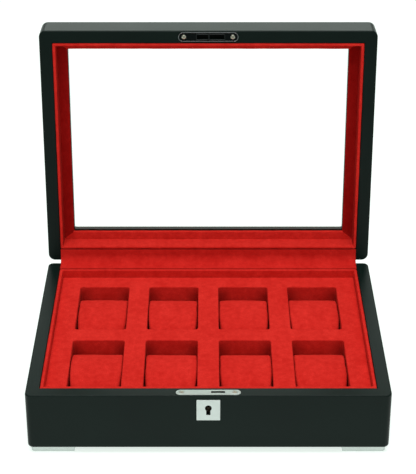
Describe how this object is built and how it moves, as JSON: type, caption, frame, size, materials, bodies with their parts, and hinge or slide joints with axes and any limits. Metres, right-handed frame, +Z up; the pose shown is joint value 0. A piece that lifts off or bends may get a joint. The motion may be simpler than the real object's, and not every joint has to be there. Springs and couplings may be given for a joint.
{
  "type": "watch box",
  "caption": "Black lacquered display box with a glazed hinged lid, velvet tray with cushioned wells, lock and metal corner feet.",
  "frame": {"origin": "under the middle of the open box's bounding box, on the plane that its feet stand on", "axes": "+X to the right along the hinge line, +Y from the front with the lock to the back with the hinges, +Z up"},
  "size_m": [0.32, 0.2886, 0.2999],
  "materials": {
    "lacquered_wood": "satin black lacquer on wood",
    "velvet": "red velvet over board, card or foam",
    "satin_steel": "satin steel",
    "dark_chrome": "smoked chrome",
    "brass": "plain brass",
    "glass": "clear polished glass"
  },
  "bodies": {
    "case": {"base_wall_front": "lacquered_wood", "base_wall_back": "lacquered_wood", "base_wall_left": "lacquered_wood", "base_wall_right": "lacquered_wood", "base_bottom_panel": "lacquered_wood", "base_lining": "velvet", "well_floor_card": "velvet", "foot_front_left": "satin_steel", "foot_front_right": "satin_steel", "foot_back_left": "satin_steel", "foot_back_right": "satin_steel", "foot_screw_front_left": "brass", "foot_screw_front_right": "brass", "foot_screw_back_left": "brass", "foot_screw_back_right": "brass", "tray_deck": "velvet", "tray_bar_left": "velvet", "tray_bar_right": "velvet", "tray_bar_front": "velvet", "tray_bar_middle": "velvet", "tray_bar_back": "velvet", "tray_cross_bar_1_1": "velvet", "tray_cross_bar_1_2": "velvet", "tray_cross_bar_1_3": "velvet", "tray_cross_bar_2_1": "velvet", "tray_cross_bar_2_2": "velvet", "tray_cross_bar_2_3": "velvet", "lock_plate": "satin_steel", "lock_case": "brass", "lock_screw_left": "brass", "lock_screw_right": "brass", "escutcheon": "satin_steel", "key_pin": "satin_steel", "hinge_left_case_leaf": "brass", "hinge_right_case_leaf": "brass", "hinge_left_pin": "satin_steel", "hinge_right_pin": "satin_steel", "hinge_cover_strip": "velvet"},
    "lid": {"lid_wall_front": "lacquered_wood", "lid_wall_back": "lacquered_wood", "lid_wall_left": "lacquered_wood", "lid_wall_right": "lacquered_wood", "lid_glass": "glass", "lid_bezel": "velvet", "lid_lining": "velvet", "strike_plate": "dark_chrome", "strike_screw_left": "satin_steel", "strike_screw_right": "satin_steel", "hinge_left_lid_leaf": "brass", "hinge_right_lid_leaf": "brass"},
    "lock_hook": {"lock_hook": "brass"},
    "cushion_1_1": {"cushion_1_1": "velvet"},
    "cushion_1_2": {"cushion_1_2": "velvet"},
    "cushion_1_3": {"cushion_1_3": "velvet"},
    "cushion_1_4": {"cushion_1_4": "velvet"},
    "cushion_2_1": {"cushion_2_1": "velvet"},
    "cushion_2_2": {"cushion_2_2": "velvet"},
    "cushion_2_3": {"cushion_2_3": "velvet"},
    "cushion_2_4": {"cushion_2_4": "velvet"}
  },
  "joints": [
    {"name": "lid_hinge", "type": "hinge", "parent": "case", "child": "lid", "pos_m": [0, 0.09592, 0.0611], "axis": [1, 0, 0], "range_deg": [0, 94], "deforming": ["hinge_cover_strip"]},
    {"name": "lock_hook_swing", "type": "hinge", "parent": "case", "child": "lock_hook", "pos_m": [-0.006, -0.13758, 0.0527], "axis": [0, -1, 0], "range_deg": [0, 50]},
    {"name": "cushion_1_1_lift", "type": "slide", "parent": "case", "child": "cushion_1_1", "axis": [0, 0, -1], "range_m": [-0.06, 0]},
    {"name": "cushion_1_2_lift", "type": "slide", "parent": "case", "child": "cushion_1_2", "axis": [0, 0, -1], "range_m": [-0.06, 0]},
    {"name": "cushion_1_3_lift", "type": "slide", "parent": "case", "child": "cushion_1_3", "axis": [0, 0, -1], "range_m": [-0.06, 0]},
    {"name": "cushion_1_4_lift", "type": "slide", "parent": "case", "child": "cushion_1_4", "axis": [0, 0, -1], "range_m": [-0.06, 0]},
    {"name": "cushion_2_1_lift", "type": "slide", "parent": "case", "child": "cushion_2_1", "axis": [0, 0, -1], "range_m": [-0.06, 0]},
    {"name": "cushion_2_2_lift", "type": "slide", "parent": "case", "child": "cushion_2_2", "axis": [0, 0, -1], "range_m": [-0.06, 0]},
    {"name": "cushion_2_3_lift", "type": "slide", "parent": "case", "child": "cushion_2_3", "axis": [0, 0, -1], "range_m": [-0.06, 0]},
    {"name": "cushion_2_4_lift", "type": "slide", "parent": "case", "child": "cushion_2_4", "axis": [0, 0, -1], "range_m": [-0.06, 0]}
  ]
}
